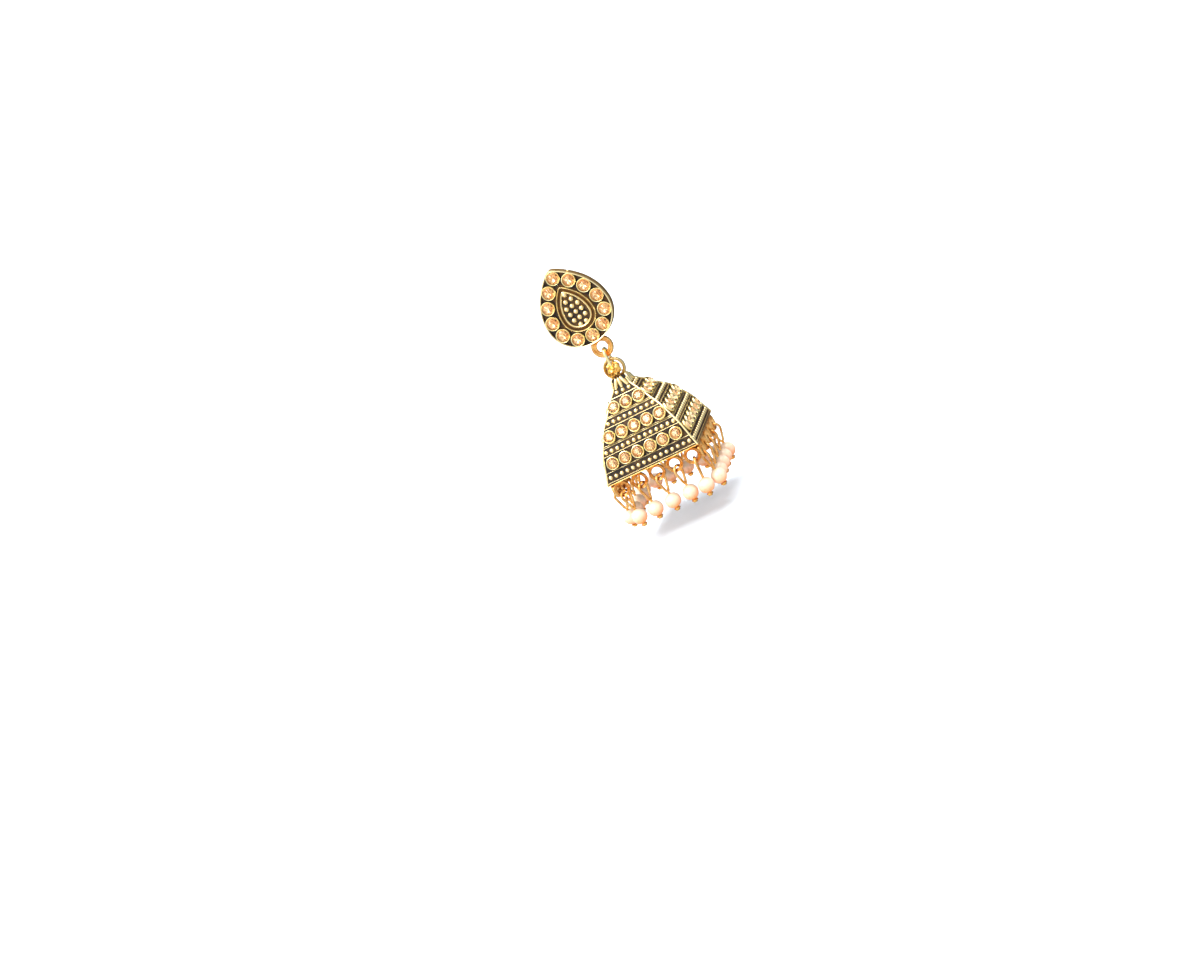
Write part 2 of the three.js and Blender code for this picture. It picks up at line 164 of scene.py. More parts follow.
def pearlCoat():
    # acrylic bead in a pearl lacquer: cream above going to a darker peach below, partly the bead's own tone
    # and partly painted shade, soft glow under a clear gloss
    look = pearlLook
    finish, tree, shader = newFinish("pearlCoat")
    place = addNode(tree, "TexCoord").outputs["Object"]
    upright = addNode(tree, "SeparateXYZ", {0: place}).outputs["Z"]
    cloud = addNode(tree, "TexNoise", {"Vector": place, "Scale": 1 / (look["cloud"] * mm), "Detail": 2})
    # painted shade: the colour runs from a darker peach at the bottom of each bead to cream at its top
    height = addNode(tree, "MapRange", {"Value": upright, "From Min": -1.05 * mm, "From Max": 1.1 * mm,
                                        "To Min": 0.0, "To Max": 0.9})
    drift = addNode(tree, "MapRange", {"Value": cloud.outputs["Fac"], "To Min": -0.15, "To Max": 0.2})
    share = addNode(tree, "Math", {0: height.outputs["Result"], 1: drift.outputs["Result"]},
                    operation="ADD", use_clamp=True)
    colour = addNode(tree, "ValToRGB", {"Fac": share.outputs[0]}, stops=[
        (0.0, linearOf(look["shadedPeach"])), (0.75, linearOf(look["crown"]))])
    rough = addNode(tree, "MapRange", {"Value": cloud.outputs["Fac"], "To Min": 0.22,
                                       "To Max": look["lustre"]})
    tree.links.new(colour.outputs["Color"], shader.inputs["Base Color"])
    tree.links.new(rough.outputs["Result"], shader.inputs["Roughness"])
    shader.inputs["IOR"].default_value = 1.53
    shader.inputs["Coat Weight"].default_value = 0.6
    shader.inputs["Coat Roughness"].default_value = 0.08
    shader.inputs["Subsurface Weight"].default_value = 0.1
    shader.inputs["Subsurface Radius"].default_value = (1.0, 0.62, 0.38)
    shader.inputs["Subsurface Scale"].default_value = 0.8 * mm
    return finish


crystalLook = dict(tint="#fffaf0", tintDeep="#fdeeda", foil="#e3ac74", foilBright="#ffe4bb", streak=0.5)


def clearCrystal():
    # cut lead glass, champagne: sharp white glints on the table and crown
    finish, tree, shader = newFinish("clearCrystal")
    place = addNode(tree, "TexCoord").outputs["Object"]
    cloud = addNode(tree, "TexNoise", {"Vector": place, "Scale": 1 / (crystalLook["streak"] * mm)})
    tint = addNode(tree, "ValToRGB", {"Fac": cloud.outputs["Fac"]}, stops=[
        (0.3, linearOf(crystalLook["tintDeep"])), (0.7, linearOf(crystalLook["tint"]))])
    tree.links.new(tint.outputs["Color"], shader.inputs["Base Color"])
    shader.inputs["Transmission Weight"].default_value = 1
    shader.inputs["Roughness"].default_value = 0.02
    shader.inputs["IOR"].default_value = 1.56
    return finish


def foilBack():
    # the foil behind the stone: a peach mirror that the facets break up
    finish, tree, shader = newFinish("foilBack")
    place = addNode(tree, "TexCoord").outputs["Object"]
    crumple = addNode(tree, "TexVoronoi", {"Vector": place, "Scale": 1 / (crystalLook["streak"] * mm)})
    colour = addNode(tree, "ValToRGB", {"Fac": crumple.outputs["Color"]}, stops=[
        (0.2, linearOf(crystalLook["foil"])), (0.8, linearOf(crystalLook["foilBright"]))])
    tree.links.new(colour.outputs["Color"], shader.inputs["Base Color"])
    shader.inputs["Metallic"].default_value = 1
    shader.inputs["Roughness"].default_value = 0.12
    return finish


antique = antiqueGold()
plated = platedGold()
nugget = platedGold("nuggetGold", beadLook, 0.14, 0.26)
burnishAndHighlightGold = platedGold("burnishAndHighlightGold", bezelLook, 0.16, 0.28)
capGold = platedGold("capGold", capLook, 0.2, 0.3)
pearl = pearlCoat()
crystal = clearCrystal()
foil = foilBack()
print("finishes made")


# Mesh helpers: a shape gathers points, faces, how raised each point is, and each face's finish

def newShape():
    return dict(points=[], faces=[], relief=[], finishes=[])


def addLoft(shape, rings, place=Matrix(), relief=1.0, finish=0, around=True, looped=False,
            caps=(False, False)):
    # relief and finish are one value, or one for each ring
    levels = relief if isinstance(relief, (list, tuple)) else [relief] * len(rings)
    kinds = finish if isinstance(finish, (list, tuple)) else [finish] * len(rings)
    start, size = len(shape["points"]), len(rings[0])
    for ring, level in zip(rings, levels):
        shape["points"] += [place @ Vector(point) for point in ring]
        shape["relief"] += [level] * size
    last = len(rings) if looped else len(rings) - 1
    for i in range(last):
        below, above = start + i * size, start + ((i + 1) % len(rings)) * size
        for j in range(size if around else size - 1):
            k = (j + 1) % size
            shape["faces"].append((below + j, below + k, above + k, above + j))
            shape["finishes"].append(kinds[i])
    if caps[0]:
        shape["faces"].append(tuple(start + j for j in reversed(range(size))))
        shape["finishes"].append(kinds[0])
    if caps[1]:
        shape["faces"].append(tuple(start + (len(rings) - 1) * size + j for j in range(size)))
        shape["finishes"].append(kinds[-1])


def addTurned(shape, profile, sides, place=Matrix(), relief=1.0, finish=0, turn=0.0, closed=False):
    # profile: distance from the axis and height along it; the axis is the local Z
    angles = [2 * math.pi * j / sides + turn for j in range(sides)]
    rings = [[(r * math.cos(a), r * math.sin(a), h) for a in angles] for r, h in profile]
    addLoft(shape, rings, place, relief, finish, looped=closed)


def addTube(shape, path, radius, sides, place=Matrix(), relief=1.0, finish=0, looped=True):
    radii = radius if isinstance(radius, (list, tuple)) else [radius] * len(path)
    path = [Vector(point) for point in path]
    rings, side = [], None
    for i, point in enumerate(path):
        ahead = path[(i + 1) % len(path)] if looped else path[min(i + 1, len(path) - 1)]
        behind = path[i - 1] if looped else path[max(i - 1, 0)]
        along = (ahead - behind).normalized()
        side = side or along.orthogonal()
        side = (side - along * side.dot(along)).normalized()
        other = along.cross(side)
        rings.append([point + radii[i] * (side * math.cos(a) + other * math.sin(a))
                      for a in (2 * math.pi * j / sides for j in range(sides))])
    addLoft(shape, rings, place, relief, finish, looped=looped, caps=(not looped, not looped))


def makePiece(name, shape, finishes, body, replaced=(), sharp=38, place=None):
    mesh = bpy.data.meshes.new(name)
    mesh.from_pydata([point * mm for point in shape["points"]], [], shape["faces"])
    for finish in finishes:
        mesh.materials.append(finish)
    mesh.polygons.foreach_set("material_index", shape["finishes"])
    mesh.attributes.new("relief", "FLOAT", "POINT").data.foreach_set("value", shape["relief"])
    work = bmesh.new()
    work.from_mesh(mesh)
    bmesh.ops.remove_doubles(work, verts=work.verts, dist=0.002 * mm)
    bmesh.ops.recalc_face_normals(work, faces=work.faces)
    work.to_mesh(mesh)
    work.free()
    mesh.shade_smooth()
    mesh.set_sharp_from_angle(angle=math.radians(sharp))
    piece = bpy.data.objects.new(name, mesh)
    bpy.context.collection.objects.link(piece)
    if place is not None:
        piece.matrix_world = place
    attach(piece, body)
    if replaced:
        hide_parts(*replaced)
    return piece


def halfRound(low, high, rise, steps=5):
    # places and heights over a rounded line from low to high
    return [((low + high) / 2 - (high - low) / 2 * math.cos(math.pi * i / steps),
             rise * math.sin(math.pi * i / steps) ** 0.7) for i in range(steps + 1)]


# Cut stones in rubbed-over bezels, and granules

stoneSizes = dict(
    width=2.5, bezelHeight=0.56, bezelFoot=-0.15, lip=0.28,  # lip: metal between the edge and the stone
    crownTop=0.7, girdleHeight=0.34, foilDepth=0.0, table=0.55, star=0.78, sides=8,
)


def addBezel(shape, place, sizes=stoneSizes):
    # a wall of the casting, finish 0, with a burnished lip, finish 1, in a paler gold that partly paints its
    # highlight
    edge, inside, top = sizes["width"] / 2, sizes["width"] / 2 - sizes["lip"], sizes["bezelHeight"]
    seat = inside + 0.02
    profile = [(edge, sizes["bezelFoot"]), (edge, 0.05), (edge - 0.01, top * 0.5), (edge - 0.03, top * 0.82),
               (edge - 0.09, top * 0.97), (edge - 0.15, top), (inside + 0.04, top - 0.06),
               (inside, top - 0.14), (seat, sizes["girdleHeight"] - 0.05), (seat, 0.0)]
    levels = [0.1, 0.3, 0.7, 1.0, 1.1, 1.1, 1.0, 0.7, 0.3, 0.2]
    addTurned(shape, profile, 28, place, levels, [0, 0, 1, 1, 1, 1, 1, 0, 0, 0])


def addStone(shape, place, sizes=stoneSizes, turn=0.0):
    # brilliant crown of clear glass, finish 0, over a low foiled back, finish 1
    radius, sides = sizes["width"] / 2 - sizes["lip"] + 0.015, sizes["sides"]
    girdle, top, foot = sizes["girdleHeight"], sizes["crownTop"], sizes["foilDepth"]
    starHeight = girdle + (top - girdle) * 0.62

    def at(step, share, height):
        angle = turn + math.pi * step / sides
        return place @ Vector((radius * share * math.cos(angle), radius * share * math.sin(angle), height))

    start = len(shape["points"])
    table = [at(2 * k, sizes["table"], top) for k in range(sides)]
    stars = [at(2 * k + 1, sizes["star"], starHeight) for k in range(sides)]
    rim = [at(k, 1, girdle) for k in range(2 * sides)]
    under = [at(2 * k + 1, 0.5, foot + (girdle - foot) * 0.42) for k in range(sides)]
    points = table + stars + rim + under + [at(0, 0, foot)]
    shape["points"] += points
    shape["relief"] += [1.0] * len(points)
    star0, rim0, under0, culet = start + sides, start + 2 * sides, start + 4 * sides, start + 5 * sides
    crown, back = [tuple(start + k for k in range(sides))], []
    for k in range(sides):
        before, after = (k - 1) % sides, (k + 1) % sides
        main, half, nextMain = rim0 + 2 * k, rim0 + 2 * k + 1, rim0 + 2 * after
        crown += [(start + k, star0 + k, start + after), (start + k, star0 + before, main, star0 + k),
                  (star0 + k, main, half), (star0 + k, half, nextMain)]
        back += [(culet, under0 + before, main, under0 + k),
                 (under0 + k, main, half), (under0 + k, half, nextMain)]
    shape["faces"] += crown + back
    shape["finishes"] += [0] * len(crown) + [1] * len(back)


def addGranule(shape, place, width, sides=12, sink=0.12):
    radius = width / 2
    # height, width and how raised, as shares of the radius
    # the raised level sets the colour: lighter on top and darker down the sides, partly rubbed-back wear,
    # partly painted shade
    steps = [(-sink, 1.0, 0.1), (0.05, 1.0, 0.45), (0.3, 0.955, 0.95), (0.55, 0.83, 1.15),
             (0.78, 0.62, 1.2), (0.94, 0.33, 1.25), (1.0, 0.0, 1.25)]
    profile = [(radius * across, radius * up * 0.95) for up, across, _ in steps]
    addTurned(shape, profile, sides, place, [level for *_, level in steps])


def addRing(shape, place, width, hole, depth, sides=32, finish=0):
    # a cast ring with a rounded rim, a step and a funnel down to its hole; its axis is the local Z
    outer, inner, half = width / 2, hole / 2, depth / 2
    band = outer - inner
    front = [(inner + band * out, half * up) for out, up in (
        (0, 0), (0.1, 0.4), (0.24, 0.78), (0.33, 0.88), (0.42, 0.7), (0.5, 0.62), (0.6, 0.86),
        (0.72, 1), (0.86, 0.86), (0.97, 0.5))]
    back = [(r, -h) for r, h in reversed(front[1:])]
    levels = [0.35, 0.5, 0.85, 1, 0.6, 0.55, 0.9, 1.1, 0.9, 0.7]
    addTurned(shape, front + [(outer, 0)] + back, sides, place, levels + [0.7] + levels[:0:-1], finish,
              closed=True)


# Places shared by the pieces, worked out as the solids are

hang = dict(
    clearance=0.14, overlap=0.15, studLean=6, studRingDrop=8.25, studRing=4.2, studRingHole=2.0,
    studRingDepth=0.9, studDepth=1.95, linkWire=0.6, linkStraight=1.9, bellHeight=15.6, beadWidth=3.0,
)
eyeFlat = math.cos(math.pi / 12)
studPlace = Matrix.Rotation(math.radians(-hang["studLean"]), 4, "Y")
hangX = hang["studRingDrop"] * math.sin(math.radians(hang["studLean"]))
hangY = -hang["studDepth"] / 2
studRingBand = (hang["studRing"] - hang["studRingHole"]) / 2 * eyeFlat
pivotZ = (-hang["studRingDrop"] * math.cos(math.radians(hang["studLean"]))
          - hang["studRingHole"] / 2 * eyeFlat - studRingBand / 2)
linkRadius = (math.hypot(studRingBand / 2, hang["studRingDepth"] / 2 * 0.67) + hang["clearance"]
              + hang["linkWire"] / 2)
eyeZ = pivotZ - hang["linkStraight"] - linkRadius
eyeHeight = hang["bellHeight"] + hang["beadWidth"] / 2 + hang["clearance"]
bellZ = eyeZ - eyeHeight
bellPlace = Matrix.Translation((hangX, hangY, bellZ))
facing = Matrix.Rotation(math.pi / 2, 4, "X")  # turns a piece's axis to the front, -Y


# Stud

studSizes = dict(
    halfWidth=6.5, tip=8.6, foot=6.95, widest=-1, floor=1.4, rimWidth=0.25, rimHeight=0.55,
    fullness=0.58, tipInset=1.2, tipSoftness=1,
    innerHalfWidth=3.35, innerTip=5.1, innerFoot=4.15, field=0.25,
    line=0.28, innerLine=0.42, lineHeight=0.55, groove=0.48,
    seedWidth=0.95, seedPitch=1.22, seedDrop=1.18, seedTop=3.25, seedRows=(1, 2, 3, 3, 3, 2),
    stones=12, stone=2.72, nub=(2.95, 6.45), nubWidth=0.55,  # nub: a blob the casting left on the rim
)


def tearLine(halfWidth, tip, foot, inset=0.0, softness=0, steps=20):
    # closed line across and up, from the tip down the left side and round
    half, low, widest = halfWidth - inset, foot - inset, studSizes["widest"]
    top = tip - studSizes["tipInset"] * inset
    shoulder = widest + studSizes["fullness"] * (top - widest)
    bend = [(-2 * t * (1 - t) * half - t * t * half,
             (1 - t) ** 2 * top + 2 * t * (1 - t) * shoulder + t * t * widest)
            for t in (i / steps for i in range(steps))]
    bowl = [(-half * math.cos(a), widest - (widest + low) * math.sin(a))
            for a in (math.pi * i / (2 * steps) for i in range(2 * steps))]
    right = [(-x, z) for x, z in reversed(bend[1:])]
    line = bend + bowl + [(half, widest)] + right
    for _ in range(softness):
        line = [tuple((before + 2 * here + after) / 4 for before, here, after in
                      zip(line[i - 1], line[i], line[(i + 1) % len(line)])) for i in range(len(line))]
    return line


def tearLevels():
    # rings over the stud from its back, up its side, over the rim and lines to the inner field:
    # outline, how far inside it, height and how raised
    s = studSizes
    outer = (s["halfWidth"], s["tip"], s["foot"])
    inner = (s["innerHalfWidth"], s["innerTip"], s["innerFoot"])
    floor, rim = s["floor"], s["rimWidth"]
    top, field = floor + s["rimHeight"], floor + s["field"]
    levels = [(outer, 0.4, 0, 0.55), (outer, 0.12, 0.03, 0.6), (outer, 0.0, 0.15, 0.45),
              (outer, 0.0, 0.9, 0.4), (outer, 0.0, top - 0.12, 0.7), (outer, 0.04, top - 0.02, 1.1),
              (outer, 0.13, top, 1.15), (outer, rim - 0.02, top - 0.05, 1.0),
              (outer, rim + 0.02, top - 0.25, 0.5), (outer, rim + 0.04, floor, 0.12),
              (outer, rim + 0.5, floor, 0.1), (inner, -0.35, floor, 0.1)]
    second = s["line"] + s["groove"]
    fieldInset = second + s["innerLine"]
    for low, high in ((0.0, s["line"]), (second, fieldInset)):
        for across, up in halfRound(low, high, s["lineHeight"], 6):
            levels.append((inner, across, floor + up, 0.3 + 0.95 * up / s["lineHeight"]))
    levels += [(inner, fieldInset + 0.03, field, 0.15), (inner, fieldInset + 0.6, field, 0.1)]
    rings = [[(x, -up, z) for x, z in tearLine(*line, inset, s["tipSoftness"])]
             for line, inset, up, _ in levels]
    return rings, [level for *_, level in levels]


def stonePlacesOnStud():
    s = studSizes
    line = tearLine(s["halfWidth"], s["tip"], s["foot"], (s["rimWidth"] + s["stone"]) / 2)
    gaps = [math.dist(line[i], line[(i + 1) % len(line)]) for i in range(len(line))]
    step, places, walked = sum(gaps) / s["stones"], [], 0.0
    for i, gap in enumerate(gaps):
        while walked <= gap and len(places) < s["stones"]:
            share, (x, z), ahead = walked / gap, line[i], line[(i + 1) % len(line)]
            places.append((x + share * (ahead[0] - x), z + share * (ahead[1] - z)))
            walked += step
        walked -= gap
    return places


studShape, studStones, studRing = newShape(), newShape(), newShape()
studStoneSizes = dict(stoneSizes, width=studSizes["stone"])
rings, levels = tearLevels()
addLoft(studShape, rings, studPlace, levels, caps=(True, True))
for x, z in stonePlacesOnStud():
    seat = studPlace @ Matrix.Translation((x, -studSizes["floor"], z)) @ facing
    addBezel(studShape, seat, studStoneSizes)
    addStone(studStones, seat, studStoneSizes, chance.uniform(0, math.pi))
fieldHeight = studSizes["floor"] + studSizes["field"]
for row, count in enumerate(studSizes["seedRows"]):
    for i in range(count):
        x = (i - (count - 1) / 2) * studSizes["seedPitch"]
        z = studSizes["seedTop"] - row * studSizes["seedDrop"]
        seat = studPlace @ Matrix.Translation((x, -fieldHeight, z)) @ facing
        addGranule(studShape, seat, studSizes["seedWidth"])
nubX, nubZ = studSizes["nub"]
seat = studPlace @ Matrix.Translation((nubX, hangY, nubZ)) @ facing
addGranule(studShape, seat, studSizes["nubWidth"])
addRing(studRing, studPlace @ Matrix.Translation((0, hangY, -hang["studRingDrop"])) @ facing,
        hang["studRing"], hang["studRingHole"], hang["studRingDepth"], 40)
makePiece("studCasting", studShape, [antique, burnishAndHighlightGold], "stud", ["stud"])
makePiece("studStones", studStones, [crystal, foil], "stud", sharp=3)
makePiece("studRing", studRing, [plated], "stud")

postSizes = dict(
    radius=0.4, length=10.5, root=-0.56,
    tip=((0.4, 0.6), (0.37, 0.35), (0.3, 0.15), (0.2, 0.03), (0, 0)),  # radius, and distance from the end
)
postShape = newShape()
postLine = [(0, postSizes["root"]), (postSizes["radius"], postSizes["root"])]
postLine += [(radius, postSizes["length"] - back) for radius, back in postSizes["tip"]]
addTurned(postShape, postLine, 20, Matrix.Rotation(-math.pi / 2, 4, "X"))
makePiece("earPost", postShape, [plated], "stud", ["ear_post"])
print("stud made")


# Link and the bead in the bell's eye

def loopPath(topRadius, footRadius, drop, steps=36):
    # closed line across and up: a round top about the origin, a round foot at -drop, straight legs
    lean, half = math.asin((topRadius - footRadius) / drop), steps // 2
    top = [(topRadius * math.cos(a), topRadius * math.sin(a))
           for a in (-lean + (math.pi + 2 * lean) * i / steps for i in range(steps + 1))]
    foot = [(footRadius * math.cos(a), footRadius * math.sin(a) - drop)
            for a in (math.pi + lean + (math.pi - 2 * lean) * i / half for i in range(half + 1))]
    return top + foot


linkShape = newShape()
linkPath = [(0, x, z + hang["linkStraight"])
            for x, z in loopPath(linkRadius, linkRadius, hang["linkStraight"])]
linkPlace = Matrix.Translation((hangX, hangY, eyeZ + linkRadius))
addTube(linkShape, linkPath, hang["linkWire"] / 2, 14, linkPlace)
# the link wears the paler bezel gold as a painted highlight
makePiece("link", linkShape, [burnishAndHighlightGold], "link", ["link"])

eyeBeadSizes = dict(
    frontWidth=3.15, backWidth=2.5, length=2.6, forward=0.59, shoulder=0.25, lumpWidth=0.6, lumpDepth=0.26,
)


def lumpyBead():
    s = eyeBeadSizes
    front, back, middle = s["frontWidth"] / 2, s["backWidth"] / 2, -s["forward"]
    shoulder = middle + s["shoulder"]
    line = [(front * math.sin(a), middle - s["length"] / 2 * math.cos(a))
            for a in (math.pi * 0.52 * i / 14 for i in range(15))]
    line += [(back + (front - back) * (1 - t), middle + t * s["shoulder"]) for t in (0.35, 0.7, 1.0)]
    line += [(back * math.cos(a), shoulder + (s["length"] / 2 - s["shoulder"]) * math.sin(a))
             for a in (math.pi / 2 * i / 7 for i in range(1, 8))]
    shape = newShape()
    addTurned(shape, [(r, -h) for r, h in line], 48)
    for i, point in enumerate(shape["points"]):
        cell = noise.voronoi(point / s["lumpWidth"])[0][0]
        reach = max(0.0, 1 - (point - Vector((0, 0, s["forward"]))).length / 3)
        shape["points"][i] = point * (1 - s["lumpDepth"] * min(cell * 1.3, 1) * (0.5 + reach))
    place = Matrix.Translation((hangX, hangY, eyeZ)) @ facing
    shape["points"] = [place @ point for point in shape["points"]]
    return shape


makePiece("eyeBead", lumpyBead(), [nugget], "link", ["eye_bead"], sharp=80)
print("link and bead made")


# Bell

bellSizes = dict(
    halfWidth=9.2, height=15.6, wall=0.9, roof=0.8, lineWidth=0.15, lineRise=0.22, rim=0.26,
    grainWidth=0.84, stonePitch=2.58, ribWidth=0.6, ribFan=0.35, ridgeRadius=0.21,
    eyeHole=2.9, eyeBand=0.65, eyeDepth=0.9,
    # heights are shares of the bell's height; a section is a height and its share of the half width
    sections=((0, 1), (0.135, 0.927), (0.308, 0.846), (0.381, 0.787), (0.58, 0.622), (0.651, 0.513),
              (0.811, 0.305), (0.891, 0.185), (1, 0.143)),
    lines=(0.033, 0.141, 0.313, 0.398, 0.413, 0.578, 0.661, 0.675, 0.823),
    stoneRows=(0.218, 0.483, 0.732),
    grainRows=((0.081, 1.15), (0.348, 1.15), (0.6135, 1.15), (0.858, 1.25)),  # height and pitch
)


def bellWidth(height):
    share = min(max(height / bellSizes["height"], 0), 1)
    sections = bellSizes["sections"]
    for (low, wide), (high, narrow) in zip(sections, sections[1:]):
        if share <= high:
            return bellSizes["halfWidth"] * (wide + (narrow - wide) * (share - low) / (high - low))


def bellSlope(height):
    step = bellSizes["height"] * 0.005
    return math.atan2(bellWidth(height - step) - bellWidth(height + step), 2 * step)


def acrossBell(height, pitch):
    count = round(2 * bellWidth(height) / pitch)
    return [(i - (count - 1) / 2) * pitch for i in range(count)]


def bellSide(side):
    return bellPlace @ Matrix.Rotation(side * math.pi / 2, 4, "Z")


def onBell(side, x, height):
    seat = bellSide(side) @ Matrix.Translation((x, -bellWidth(height), height))
    return seat @ Matrix.Rotation(-bellSlope(height), 4, "X") @ facing


def squareRing(halfWidth, height):
    return [(halfWidth, -halfWidth, height), (halfWidth, halfWidth, height),
            (-halfWidth, halfWidth, height), (-halfWidth, -halfWidth, height)]


def bellLevels():
    b = bellSizes
    full, half = b["height"], b["lineWidth"] / 2
    outside = [(b["rim"] * up, rise, level) for up, rise, level in (
        (0.0, -0.1, 0.6), (0.08, 0.02, 1.0), (0.35, 0.14, 1.15), (0.65, 0.15, 1.15),
        (0.9, 0.1, 1), (1.1, 0.0, 0.1))]
    for share in b["lines"]:
        for place, rise in halfRound(share * full - half, share * full + half, b["lineRise"], 6):
            outside.append((place, rise, 0.1 + 1.0 * rise / b["lineRise"]))
    for share, _ in b["sections"]:
        if share and all(abs(share * full - place) > 0.15 for place, *_ in outside):
            outside.append((share * full, 0.0, 0.1))
    outside.sort()
    rings = [squareRing(bellWidth(place) + rise, place) for place, rise, _ in outside]
    raised = [level for *_, level in outside]
    roof = b["roof"] * full
    inner = [0.0, 0.06] + [share * full for share, _ in b["sections"] if 0.06 < share * full < roof] + [roof]
    inside = [squareRing(bellWidth(place) - b["wall"] + (0.1 if place == 0 else 0), place)
              for place in reversed(inner)]
    kinds = [2 if place < b["rim"] * 0.9 else 0 for place, *_ in outside]  # the plain rim is plated bright
    return inside + rings, [0.42] * len(inside) + raised, [0] * len(inside) + kinds


def addRib(side, x, footHeight):
    # a tapered rib up the neck, leaning in to the eye
    path, radii = [], []
    for t in (i / 10 for i in range(11)):
        height = footHeight + t * (bellSizes["height"] - footHeight)
        swell = math.sin(math.pi * min(0.15 + t * 0.75, 1)) ** 0.8
        path.append((x * (1 - t * (1 - bellSizes["ribFan"])), -bellWidth(height) - 0.04, height))
        radii.append(bellSizes["ribWidth"] * (0.25 + 0.35 * swell))
    addTube(bellShape, path, radii, 10, bellSide(side), 1.05, looped=False)


def addCornerRidge(side):
    path = []
    for t in (i / 24 for i in range(25)):
        height = 0.2 + t * (0.97 * bellSizes["height"] - 0.2)
        path.append((bellWidth(height) + 0.06, -bellWidth(height) - 0.06, height))
    addTube(bellShape, path, bellSizes["ridgeRadius"], 10, bellSide(side), 1.2, looped=False)


bellShape, bellStones, bellRings = newShape(), newShape(), newShape()
rings, levels, kinds = bellLevels()
addLoft(bellShape, rings, bellPlace, levels, kinds, caps=(True, True))
neckRow, neckPitch = bellSizes["grainRows"][-1]
neckFoot = neckRow * bellSizes["height"] + bellSizes["grainWidth"] / 2
for side in range(4):
    for share in bellSizes["stoneRows"]:
        height = share * bellSizes["height"]
        for x in acrossBell(height, bellSizes["stonePitch"]):
            addBezel(bellShape, onBell(side, x, height))
            addStone(bellStones, onBell(side, x, height), turn=chance.uniform(0, math.pi))
    for share, pitch in bellSizes["grainRows"]:
        height = share * bellSizes["height"]
        for x in acrossBell(height, pitch):
            addGranule(bellShape, onBell(side, x, height), bellSizes["grainWidth"])
    for x in acrossBell(neckRow * bellSizes["height"], neckPitch):
        addRib(side, x, neckFoot)
    addCornerRidge(side)
addRing(bellShape, bellPlace @ Matrix.Translation((0, 0, eyeHeight)) @ facing,
        bellSizes["eyeHole"] + 2 * bellSizes["eyeBand"], bellSizes["eyeHole"], bellSizes["eyeDepth"], 44)

fringeSizes = dict(
    count=5, pitch=9.2 * 0.391, ring=3.2, ringHole=1.9, ringDepth=0.8,
    wire=0.5, loopRadius=1.0, footRadius=0.3, length=4.7, pearl=3.0,
    capTop=1.25, capFoot=0.85, capHeight=0.48, capGap=0.04,
    turns=(50, 58, 52, 62, 100),  # how far each wire loop is turned from the face of the bell
)
ringFlat = math.cos(math.pi / 10)
ringZ = hang["overlap"] - fringeSizes["ring"] / 2 * ringFlat
ringBand = (fringeSizes["ring"] - fringeSizes["ringHole"]) / 2 * ringFlat
sectionZ = ringZ - fringeSizes["ringHole"] / 2 * ringFlat - ringBand / 2
fringePlane = bellSizes["halfWidth"] - bellSizes["wall"] / 2
fringePlaces = [(i - (fringeSizes["count"] - 1) / 2) * fringeSizes["pitch"]
                for i in range(fringeSizes["count"])]
for side in range(4):
    for x in fringePlaces:
        place = bellSide(side) @ Matrix.Translation((x, -fringePlane, ringZ)) @ facing
        addRing(bellRings, place, fringeSizes["ring"], fringeSizes["ringHole"], fringeSizes["ringDepth"])
makePiece("bellCasting", bellShape, [antique, burnishAndHighlightGold, plated], "drop", ["bell"])
makePiece("bellStones", bellStones, [crystal, foil], "drop", sharp=3)
makePiece("bellRings", bellRings, [plated], "drop")
print("bell made")


# Fringe: wire loops with their pins and caps, and the pearls

def dropShape():
    # the wire loop, finish 0, and the pin with its cap, finish 1
    f = fringeSizes
    shape, thick = newShape(), f["wire"] / 2
    topZ = ringBand / 2 + hang["clearance"] - (f["loopRadius"] - thick) * ringFlat
    pearlTop = -f["length"] + f["pearl"] / 2
    footZ = pearlTop + hang["clearance"] + f["footRadius"] + thick
    path = [(x, 0, z + topZ) for x, z in loopPath(f["loopRadius"], f["footRadius"], topZ - footZ, 24)]
    addTube(shape, path, thick, 10)
    capTop = pearlTop - f["pearl"] - f["capGap"]
    capFoot = capTop - f["capHeight"]
    narrow, wide = f["capFoot"] / 2, f["capTop"] / 2
    line = [(0, capFoot - 0.04), (narrow - 0.08, capFoot - 0.02), (narrow, capFoot + 0.05),
            (narrow + 0.03, capFoot + 0.2), (wide - 0.03, capTop - 0.2),
            (wide, capTop - 0.1), (wide - 0.03, capTop), (thick, capTop + 0.03),
            (thick, footZ - f["footRadius"]), (0, footZ - f["footRadius"])]
    addTurned(shape, line, 18, finish=1)
    return shape


def pearlShape():
    # a drilled bead, its bore rounded in at both ends
    f = fringeSizes
    radius, bore = f["pearl"] / 2, f["wire"] / 2 + 0.03
    start = math.asin(bore / radius)
    line = [(radius * math.sin(a), radius * math.cos(a)) for a in
            (start + (math.pi - 2 * start) * i / 18 for i in range(19))]
    line = [(bore, line[0][1] - 0.12)] + line + [(bore, line[-1][1] + 0.12)]
    shape = newShape()
    addTurned(shape, line, 28)
    return shape


